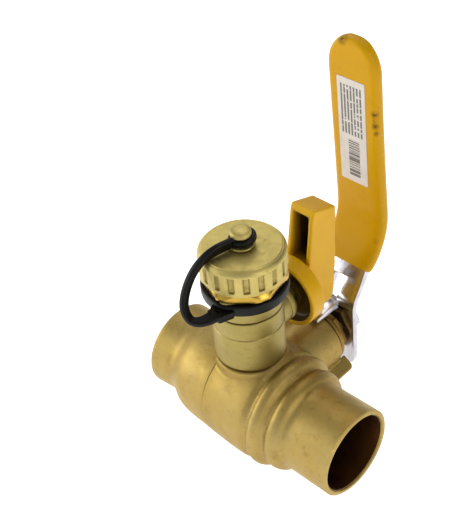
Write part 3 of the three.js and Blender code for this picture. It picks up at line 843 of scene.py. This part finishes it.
def grip_sides(z):
    """The grip's left and right sides at a height; they close in a round top."""
    if z > 104:
        t = 1 - math.sqrt(max(0.0, 1 - ((z - 104) / (GRIP_TOP - 104)) ** 2.1))
        middle = -0.5
        return middle - 10.5 * (1 - t), middle + 10.5 * (1 - t)
    for (z0, a0, b0), (z1, a1, b1) in zip(GRIP_SIDES, GRIP_SIDES[1:]):
        if z <= z1:
            share = (z - z0) / (z1 - z0)
            return a0 + (a1 - a0) * share, b0 + (b1 - b0) * share
    return GRIP_SIDES[-1][1:]


def rounded_section(half_width, half_depth, corner):
    """A rounded rectangle's points, anticlockwise from its right side."""
    corner = min(corner, half_width, half_depth)
    points = []
    for quarter in range(4):
        side_x = 1 if quarter in (0, 3) else -1
        side_y = 1 if quarter in (0, 1) else -1
        for i in range(7):
            angle = (quarter + i / 6) * math.pi / 2
            points.append((
                side_x * (half_width - corner) + corner * math.cos(angle),
                side_y * (half_depth - corner) + corner * math.sin(angle),
            ))
        x0, y0 = points[-1]
        if quarter in (0, 2):
            points += [(x0 - side_x * 2 * (half_width - corner) * k / 6, y0) for k in range(1, 6)]
    return points


def lever_grip():
    """The dipped vinyl grip, thick and round-edged, closed over the steel's end."""
    line = [pn for pn in frames(walked(lever_line(), 0.8)) if pn[0].y > GRIP_BOTTOM - 0.01]
    middle, depth, corner = 1.15, 2.53, 2.3
    crown = 2.4  # how far below the top the thickness starts to close
    sections = []
    for place, normal in line:
        z = place.y
        if z > GRIP_TOP - 0.05:
            break
        lip = min(1.0, (z - GRIP_BOTTOM) / 1.3)
        half_depth = depth * (0.82 + 0.18 * math.sqrt(1 - (1 - lip) ** 2))
        left, right = grip_sides(z)
        half_width = (right - left) / 2 - 0.5 * (1 - lip) ** 2
        if z > GRIP_TOP - crown:
            share = (z - (GRIP_TOP - crown)) / crown
            half_depth *= math.sqrt(max(0.02, 1 - share * share))
        section = []
        for x, out in rounded_section(max(1.2, half_width), half_depth, corner):
            spot = place + normal * (middle + out)
            section.append(((left + right) / 2 + x, spot.x, spot.y))
        sections.append(section)
    return skinned("lever_grip", sections)


LABEL_BOX = (-6.5, 5.3, 58.8, 101.6)
LABEL_THICK = 0.14
LABEL_ROW = 1.35  # spacing of the printed rules


def lever_label():
    """A thin slip stuck along the grip's inner face, with rounded corners."""
    outline = eased(rectangle(*LABEL_BOX), 0.5, 3)
    bend_y, bend_z = GRIP_BEND
    lean = (bend_y - 0.3 - STEEL_TOP[0]) / (STEEL_TOP[1] - bend_z - 10)
    slip = pushed("lever_label", "y", outline, 0, LABEL_THICK)
    face = STEEL_TOP[0] + STEEL_TOP[1] * lean - 1.4 * math.sqrt(1 + lean * lean)
    for vertex in slip.data.vertices:
        vertex.co.y += (face - 0.13) * MM - vertex.co.z * lean
    return slip


def label_print():
    """Plain paper with grey rules and plain bars, which spell nothing."""
    m = Finish("label_stock", roughness=0.6)
    across, _, along = m.coordinates()
    paper = m.blotches(300, 4, srgb(200, 192, 184), srgb(212, 204, 196))
    row = m.calc("FRACT", m.calc("DIVIDE", across, LABEL_ROW * MM))
    off_row = m.calc("ABSOLUTE", m.calc("SUBTRACT", row, 0.5))
    gaps = m.noise(900, 2, place=m.stretched((0.25, 0, 1)))
    dashes = m.both(
        m.calc("LESS_THAN", off_row, 0.27), m.calc("GREATER_THAN", gaps, 0.4),
        m.between(across, -5.6, 4.2), m.between(along, 79, 99),
    )
    stripes = m.noise(2300, 0, place=m.stretched((0, 0, 1)))
    bars = m.both(m.calc("GREATER_THAN", stripes, 0.48),
                  m.between(across, -2.6, 2.2), m.between(along, 61.5, 77))
    ink = m.both(m.calc("MAXIMUM", dashes, bars), 0.86)
    m.colour(m.mixed(ink, paper, srgb(66, 62, 60)))
    m.gloss(m.noise(500, detail=2), 0.5, 0.62)
    m.relief(m.noise(900, detail=3), 0.01, 0.4)
    return m.material


def threads(root, crest, pitch, low, high):
    """A right-handed helical thread, as a change of radius for turned()."""
    def shaped(angle, radius, along):
        if not low < along < high or abs(radius - crest) > 0.02:
            return radius
        phase = (along / pitch - angle / TAU) % 1
        ridge = min(1.0, max(0.0, 2.6 * (0.5 - abs(phase - 0.5)) - 0.15))
        fade = min(1.0, (along - low) / (0.4 * pitch), (high - along) / (0.4 * pitch))
        return root + (crest - root) * ridge * max(0.0, fade)
    return shaped


def span(radius, low, high, gap):
    """Evenly spaced profile points at one radius."""
    count = max(2, round((high - low) / gap))
    return [(radius, low + (high - low) * i / count) for i in range(count + 1)]


def hex_nut(name, flats, low, high, bore):
    """A hexagon nut about the Y axis, chamfered on both faces."""
    corner, chamfer = flats / math.sqrt(3), 0.54
    nut = pushed(name, "y", hexagon(flats), low, high)
    shared(nut, turned("cone", "y", [
        (0, low), (corner - 0.9, low), (corner + 0.1, low + chamfer),
        (corner + 0.1, high - chamfer), (corner - 0.9, high), (0, high),
    ], 64))
    hole = turned("hole", "y", [
        (0, low - 1), (bore + 0.5, low - 1), (bore + 0.5, low), (bore, low + 0.5),
        (bore, high - 0.5), (bore + 0.5, high), (bore + 0.5, high + 1), (0, high + 1),
    ], 48)
    return bevelled(cut(nut, hole), 0.12, angle=25)


def main_stem_turned():
    """The stem: collar, shank, flats for the lever and a threaded end."""
    end = NUT_END + 1.5
    profile = [
        (0, 16.3), (6.2, 16.3), (6.2, 18.2), (5, 18.2), (5, PLATE_Y - 0.7),
        (STEM_R, PLATE_Y - 0.1), *span(STEM_R, PLATE_Y + 0.1, end - 0.6, 0.16),
        (3.9, end), (0, end),
    ]
    stem = turned("main_stem_turned", "y", profile, 64,
                  shaped=threads(3.85, STEM_R, STEM_PITCH, PLATE_Y + PLATE_T, end - 0.5))
    united(stem, pushed("tang", "y", rectangle(-4, 4, -2.5, 2.5), 12.7, 16.6))
    for left, right in ((-8, -STEM_FLAT), (STEM_FLAT, 8)):
        flat = rectangle(left, right, -8, 8)
        cut(stem, pushed("flat", "y", flat, PLATE_Y - 0.6, PLATE_Y + PLATE_T + 0.6))
    return stem


def gland_nut():
    """The screwed gland under the lever: skirt, flange and hexagon."""
    skirt = turned("gland_nut", "y", eased([
        (5.3, 31.8), (7.7, 31.8), (7.7, 35.9), (11.2, 35.9), (11.2, 37.4), (10.8, 37.8),
        (5.3, 37.8),
    ], 0.25, 2), 72)
    hexed = hex_nut("hexed", 17, 37.5, 40.8, bore=5.3)
    return gathered(skirt, hexed)


# ---- side drain

DRAIN_Z = 33.3
DRAIN_CENTRE = (0, 0, DRAIN_Z)
NECK_R = 12.5
HUB_R = 13.4
HUB_FRONT = 18.5
HUB_BACK = 36
LEVER_BACK = 41
LEVER_TOP = 65
BOWL_BACK = 24.8
POCKET_HALF = 3.6  # half the pocket's width
POCKET_FOOT = 9  # how far the pocket starts above the stem
ROOF_SLOPE = 0.34  # how fast the pocket's roof falls towards its back


def drain_neck():
    """The turned neck with its fine groove, and the drain stem's boss."""
    neck = turned("drain_neck", "z", [
        (4.7, 17.4), (6, 17.4), (6, 21.3), *eased([
            (11.3, 21.3), (12.15, 21.5), (NECK_R, 22.5), (NECK_R, 35.65), (12.22, 35.9),
            (12.22, 36.1), (NECK_R, 36.35), (NECK_R, 43.1), (12.2, 43.4), (9.1, 43.4),
        ], 0.15, 2), (9.1, 25.7), (4.7, 25.7),
    ], 128)
    boss = turned("boss", "y", [
        (0, 9.6), (8.2, 9.6), *eased([(8.2, 13.4), (8.2, 15.8), (7.5, 16.6), (5, 16.6)], 0.3, 2),
        (0, 16.6),
    ], 80, DRAIN_CENTRE)
    united(neck, boss)
    stem_way = turned("way", "y", [
        (0, 0), (5.4, 0), (5.4, 12.2), (4.2, 12.2), (4.2, 20), (0, 20),
    ], 48, DRAIN_CENTRE)
    return cut(neck, stem_way)


def drain_lever_casting():
    """The cast lever: an open bowl round the stem and, behind it, a flat-sided
    blade with a deep pocket in its front."""
    tip, base, top = 5.2, DRAIN_Z, LEVER_TOP
    foot = HUB_R - 0.2
    right = [(0, base - foot)]
    right += curve((0, base - foot), (6.3, base - foot), (7, base - 9), 8)
    right += [(6, base - 3), (5.4, base + 12), (tip, top - 0.6), (tip - 0.3, top + 0.4)]
    left = [(-x, z) for x, z in reversed(right[1:])]
    blade = pushed("drain_lever_casting", "y", right + left, 20, 45)
    side = [
        (23.5, -14), (31.5, -14), (34.5, -11.5), (36.8, -8), (38.6, -3), (40.2, 8),
        (LEVER_BACK, 24), (41, 28), (29.8, 31.7), (28.9, 29), (26.5, 13.8), (26.2, 10),
        (23.5, 10),
    ]
    shared(blade, pushed("side", "x", [(y, base + z) for y, z in side], -15, 15))
    united(blade, turned("bowl", "y", [
        (0, HUB_FRONT), (HUB_R - 0.1, HUB_FRONT), (HUB_R, HUB_FRONT + 0.2),
        (HUB_R, BOWL_BACK), (0, BOWL_BACK),
    ], 96, DRAIN_CENTRE))
    cut(blade, turned("hollow", "y", [
        (0, 10), (HUB_R - 1.7, 10), (HUB_R - 1.8, 22.2), (HUB_R - 2.6, 22.8), (0, 22.8),
    ], 72, DRAIN_CENTRE))
    united(blade, tube("y", 6, 20, 30, 48, DRAIN_CENTRE))
    front = [(-POCKET_HALF, base + POCKET_FOOT), (POCKET_HALF, base + POCKET_FOOT),
             (3.15, base + 32), (-3.15, base + 32)]
    pocket = pushed("pocket", "y", front, 20, 45)
    start, end = BOWL_BACK + 0.1, LEVER_BACK - 2.6
    shared(pocket, pushed("roof", "x", [
        (start, base + 8), (end, base + 8), (end, base + 25.7), (start, base + 30.3)], -5, 5))
    cut(blade, pocket)
    melted(blade, voxel=0.3, passes=16)
    cut(blade,
        turned("hole", "y", [
            (0, 10), (4.2, 10), (4.2, 27.3), (2.9, 27.3), (2.9, 50), (0, 50),
        ], 40, DRAIN_CENTRE),
        tube("y", 4.8, HUB_BACK, 50, 48, DRAIN_CENTRE))
    return blade


def drain_lever_screw():
    """A pan-head screw with a cross recess."""
    head = HUB_BACK + 0.3
    screw = turned("drain_lever_screw", "y", [
        (0, 33.9), (2, 33.9), (2, head), (4.2, head), (4.4, head + 0.3), (4.4, head + 1),
        (4.15, head + 1.6), (3.5, head + 2.1), (2.4, head + 2.3), (0, head + 2.3),
    ], 56, DRAIN_CENTRE)
    for x, z in ((2.3, 0.45), (0.45, 2.3)):
        slot = rectangle(-x, x, DRAIN_Z - z, DRAIN_Z + z)
        cut(screw, pushed("recess", "y", slot, head + 1.1, head + 4))
    return screw


def drain_stem_turned():
    """The drain's stem with the tang that turns its ball."""
    stem = turned("drain_stem_turned", "y", [
        (0, 7.9), (3.3, 7.9), (3.3, 9.6), (5, 9.6), (5, 10.9), (3.9, 10.9), (3.9, 13.3),
        (2.4, 13.3), (2.4, 15.3), (3.9, 15.3), (3.9, 27), (2.6, 27), (2.6, 33.5), (0, 33.5),
    ], 56, DRAIN_CENTRE)
    tang = rectangle(-3.2, 3.2, DRAIN_Z - 1.4, DRAIN_Z + 1.4)
    return united(stem, pushed("tang", "y", tang, 5.9, 8.2))


# ---- outlet, cap and strap

THREAD_PITCH = 2.2087
THREAD_R = 13.45
COLLAR_FLATS = 27
COLLAR_TURN = 41  # degrees
COLLAR_BOTTOM = 54
CAP_BOTTOM = 57
LOBE_BOTTOM = 58.7
CAP_TOP = 67.7
CAP_R = 14.8
CAP_FLUTES = 18
LOOP_Z = 70.4


def outlet_adapter(dull, bright):
    """The outlet: bright band, strap groove, hexagon and hose thread."""
    shell = turned("outlet_adapter", "z", [
        (6, 40.9), (8.8, 40.9), (8.8, 43.7),
        *eased([(12.1, 43.7), (NECK_R, 44.1), (NECK_R, 48.8), (12, 49.1)], 0.15, 2),
        (12, 57), (12, 58.2), *span(THREAD_R, 58.7, 62.6, 0.16),
        (12.05, 63), (9.5, 63), (9.5, 48), (6, 46),
    ], 128, shaped=threads(12.55, THREAD_R, THREAD_PITCH, 58.6, 62.7))
    low = COLLAR_BOTTOM
    six = hexagon(COLLAR_FLATS, math.radians(COLLAR_TURN))
    collar = pushed("collar", "z", six, low, low + 3.8)
    shared(collar, turned("cone", "z", [
        (0, low), (14.2, low), (14.75, low + 0.4), (14.75, low + 1.4), (13.1, low + 3.5),
        (0, low + 3.5),
    ], 96))
    bevelled(cut(collar, tube("z", 11.9, 50, 60, 64)), 0.2, angle=25)
    faces = collar.data.polygons
    faces.foreach_set("material_index", [1] * len(faces))
    for material in (dull, bright):
        shell.data.materials.append(material)
    return gathered(shell, collar)


def outlet_cap():
    """The cap: a crown with a sloped shoulder over a skirt of flutes."""
    def fluted(angle, radius, along):
        if radius < 14.5 or not LOBE_BOTTOM - 0.1 < along < 65.5:
            return radius
        turn = (angle / TAU * CAP_FLUTES + 0.1) % 1
        off = abs(turn - 0.5) * 2  # 0 in the middle of a lobe, 1 in a valley
        valley = min(1.0, max(0.0, (off - 0.52) / 0.18))
        valley = valley * valley * (3 - 2 * valley)
        ends = min(1.0, max(0.0, (along - LOBE_BOTTOM) / 0.25), max(0.0, (65.35 - along) / 0.3))
        crowned = 0.12 * off * off
        return radius - ends * (0.68 * valley + crowned)

    skirt = [(CAP_R, z) for z in (
        LOBE_BOTTOM + 0.1, LOBE_BOTTOM + 0.25, LOBE_BOTTOM + 0.4, LOBE_BOTTOM + 0.7, 62,
        64.4, 64.9, 65.05, 65.2, 65.35, 65.45)]
    return turned("outlet_cap", "z", [
        (13.75, 58.1), (13.9, CAP_BOTTOM + 0.1), (14, CAP_BOTTOM), (14.2, CAP_BOTTOM),
        (14.36, CAP_BOTTOM + 0.2), (14.36, LOBE_BOTTOM - 0.05), (14.5, LOBE_BOTTOM),
        (14.7, LOBE_BOTTOM + 0.02), *skirt,
        (14.8, 65.6), (14.72, 65.95), (14.5, 66.4), (14.2, 66.8), (13.9, 67.1), (13.68, 67.3),
        (13.5, 67.3), (13.42, 67.5), (13.2, CAP_TOP), (6, CAP_TOP), (2.3, CAP_TOP), (2.3, 65.5),
        (13.75, 65.5),
    ], CAP_FLUTES * 20, shaped=fluted)


def cap_stud():
    """The swivel stud on the cap: a flange, a neck and a rounded head."""
    return turned("cap_stud", "z", [
        (0, 63.9), (4, 63.9), (4, 65.2), (2, 65.2), (2, 68), *eased([
            (4.6, 68), (4.6, 68.6), (4.3, 68.8), (2.75, 69.1), (2.5, 70.2), (2.6, 71.6),
            (3.45, 72), (3.6, 72.5),
        ], 0.2, 2), (3.55, 73.2), (3.3, 73.7), (2.8, 74), (2, 74.15), (1, 74.2), (0, 74.2),
    ], 64)


STRAP_ROUTE = [
    (3.2, -17.9, 51), (2.6, -20.4, 50.8), (1.2, -22.7, 50.6), (-0.9, -24.1, 50.8),
    (-2.9, -24.2, 52.2), (-4.3, -23.7, 54.6), (-4.9, -22.6, 57.3), (-5, -21.2, 60.2),
    (-4.8, -19.6, 63), (-4.4, -17.7, 65.6), (-3.7, -15.2, 68), (-2.8, -12.2, 69.7),
    (-1.9, -9, 70.4), (-1.2, -5.9, 70.4), (-0.8, -4.1, 70.3),
]
STRAP_WIDTH = 3
STRAP_THICK = 2.3
STRAP_CORNER = 0.8


def strap_band():
    """The flat rubber band from the ring's tab to the loop. Returns it with the
    points that it follows."""
    route = [Vector(p) for p in flowing(STRAP_ROUTE, 6)]
    count = len(route)
    sections = []
    side = None
    for i, place in enumerate(route):
        ahead = (route[min(i + 1, count - 1)] - route[max(i - 1, 0)]).normalized()
        share = i / (count - 1)
        if side is None:
            side = Vector((0, 0, 1)).cross(ahead).normalized()
        side = (side - ahead * side.dot(ahead)).normalized()
        top = ahead.cross(side)
        flare = max(0.0, 1 - share / 0.22)
        tail = min(1.0, max(0.0, (share - 0.72) / 0.14))
        half_width = STRAP_WIDTH / 2 + 1.2 * flare ** 1.2 + 0.75 * tail
        half_thick = STRAP_THICK / 2 - 0.15 * flare - 0.15 * tail
        section = rounded_section(half_width, half_thick, STRAP_CORNER)
        sections.append([tuple(place + side * x + top * y) for x, y in section])
    return skinned("strap_band", sections), route


def strap_ring_band():
    """The ring round the neck, drawn out to a point at its pierced tab."""
    tab_angle = math.radians(-76)

    def drawn(angle, radius, along):
        off = math.remainder(angle - tab_angle, TAU)
        pull = math.exp(-(off / 0.2) ** 2)
        return radius + pull * (1.6 if radius < 13.8 else 0.9)

    section = eased(rectangle(12.65, 14.95, 49.35, 53.5), STRAP_CORNER, 4)
    hoop = turned("strap_ring_band", "z", section, 128, shaped=drawn)
    tab = pushed("tab", "z", eased([
        (-0.6, -14.2), (0.8, -17.6), (0.5, -18.6), (6.1, -18.6), (6.6, -17.2),
        (8, -13.4), (4.5, -15.2), (2, -15.3),
    ], 0.5, 3), 49.6, 52.1)
    slit = eased(rectangle(2.6, 4.6, -17, -16.2), 0.3, 3)
    bevelled(cut(tab, pushed("slit", "z", slit, 48, 54)), 0.35)
    return gathered(hoop, tab)


def strap_eyelet():
    """The loop of the strap that snaps over the stud's neck; it sits a bit askew."""
    section = eased(rectangle(2.95, 4.7, -1.1, 1.1), 0.75, 4)
    loop = turned("strap_eyelet", "z", section, 64)
    askew = Matrix.Rotation(math.radians(-9), 4, Vector((-1, 1, 0)))
    loop.data.transform(Matrix.Translation((0.0003, 0.0003, (LOOP_Z + 0.15) * MM)) @ askew)
    return loop


# ---- the scene


def make_floor():
    """The plain pale floor, glowing a little like a lit light table."""
    m = Finish("floor", roughness=0.6)
    m.colour(m.blotches(3, 1, 0.92, 0.94))
    m.give(m.shader, Emission_Color=(1, 1, 1, 1), Emission_Strength=FLOOR_GLOW)
    corners = rectangle(-FLOOR_REACH, FLOOR_REACH, -FLOOR_REACH, FLOOR_REACH)
    floor = build("floor", [(x, y, FLOOR_Z) for x, y in corners], [(0, 1, 2, 3)])
    floor.data.materials.append(m.material)


def keep_cad(material, *nodes):
    """CAD nodes that stay as they are, with a finished material."""
    for name in nodes:
        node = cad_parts[name]
        node.data.materials.clear()
        node.data.materials.append(material)


make_camera()
make_lights()
make_floor()

FORGED = forged_brass()
TURNED_Z = turned_brass("turned_brass_neck", (1, 1, 9), srgb(160, 144, 84))
# The cap's brass is lighter than the neck's: a painted highlight standing in for the light on its
# crown. Its flute valleys get painted shade.
TURNED_CAP = turned_brass("turned_brass_cap", (1, 1, 5), srgb(194, 177, 108),
                          smooth=0.44, rough=0.56, grain=0.02,
                          shade_grooves=(CAP_R - 0.35, LOBE_BOTTOM + 0.1, 65.4))
TURNED_Y = turned_brass("turned_brass_stem", (1, 9, 1), srgb(176, 154, 90))
# painted shade: the gland nut's brass is darker than the stem's, for the shade under the lever
GLAND_BRASS_SHADED = turned_brass("gland_brass_painted_shade", (1, 9, 1), srgb(150, 118, 60))
POLISHED = plain("polished_brass", 1.0, (120, 3, srgb(170, 136, 50), srgb(188, 154, 68)),
                 shine=(300, 0.22, 0.34), grain=(1400, 2, 0.006, 0.4))
CHROME = chrome()
ZINC = zinc_steel()
ZINC_NUT = zinc_steel("zinc_nut", (1, 8, 1))
VINYL = yellow_vinyl()
PAINT = yellow_paint()
RUBBER = black_rubber()
SEAT = plain("seat_plastic", 0.0, (150, 3, srgb(226, 226, 220), srgb(240, 240, 236)),
             shine=(300, 0.34, 0.46), grain=(1500, 2, 0.006, 0.4))
# painted shade: the bores inside the sockets get a dark brown metal for the shade inside the cups
BORE = plain("dark_bore", 1.0, (120, 4, srgb(58, 34, 14), srgb(76, 46, 20)),
             shine=(300, 0.42, 0.6), grain=(700, 3, 0.012, 0.5))
LABEL = label_print()

band, band_route = strap_band()
finished(band, RUBBER, "strap_tail", crease=50)
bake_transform(band)

forging = placed(body_forging(), FORGED, "valve", "valve_body", crease=42)
lined(forging, BORE, lambda p: abs(p.x) > 12 and math.hypot(p.y, p.z) < SOCKET_R + 0.2)
cup = placed(far_cup(), FORGED, "valve", "end_piece", crease=30)
lined(cup, BORE, lambda p: math.hypot(p.y, p.z) < SOCKET_R + 0.2)
placed(ball("ball_polished", BALL_R, PORT_R, 0, tang=(12.3, 2.8), side_port=7), CHROME,
       "main_lever", "main_ball")
placed(main_stem_turned(), TURNED_Y, "main_lever", "main_stem")
placed(gland_nut(), GLAND_BRASS_SHADED, "valve", "main_packing_nut")
placed(lever_plate(), ZINC, "main_lever", "main_handle")
placed(lever_grip(), VINYL, "main_lever", "main_grip", crease=60)
placed(lever_label(), LABEL, "main_lever", "grip_label")
placed(hex_nut("lever_nut", 13, NUT_START, NUT_END, bore=4.7), ZINC_NUT,
       "main_lever", "main_handle_nut")
washer = turned("lever_washer", "y", eased(rectangle(4.7, 7.6, 44.8, 45.9), 0.2, 2), 64)
placed(washer, ZINC_NUT, "main_lever", "main_lock_washer")

placed(drain_neck(), TURNED_Z, "valve", "drain_body")
placed(ball("drain_ball_polished", 7.6, 4.7, DRAIN_Z, tang=(5.6, 1.7)), CHROME,
       "drain_lever", "drain_ball")
placed(drain_stem_turned(), TURNED_Y, "drain_lever", "drain_stem")
placed(drain_lever_casting(), PAINT, "drain_lever", "drain_handle", crease=45)
placed(drain_lever_screw(), ZINC_NUT, "drain_lever", "drain_handle_screw")

placed(outlet_adapter(TURNED_Z, POLISHED), None, "valve", "drain_adapter")
placed(outlet_cap(), TURNED_CAP, "cap", "hose_cap")
placed(cap_stud(), TURNED_CAP, "cap", "cap_rivet")
placed(strap_ring_band(), RUBBER, "valve", "strap_ring", crease=50)
placed(strap_eyelet(), RUBBER, "strap_end", "strap_loop", crease=50)

keep_cad(SEAT, "body_seal", "main_seat_near", "main_seat_far", "main_thrust_washer",
         "main_packing", "drain_seat_lower", "drain_seat_upper", "drain_thrust_washer")
keep_cad(RUBBER, "drain_stem_oring", "cap_washer")
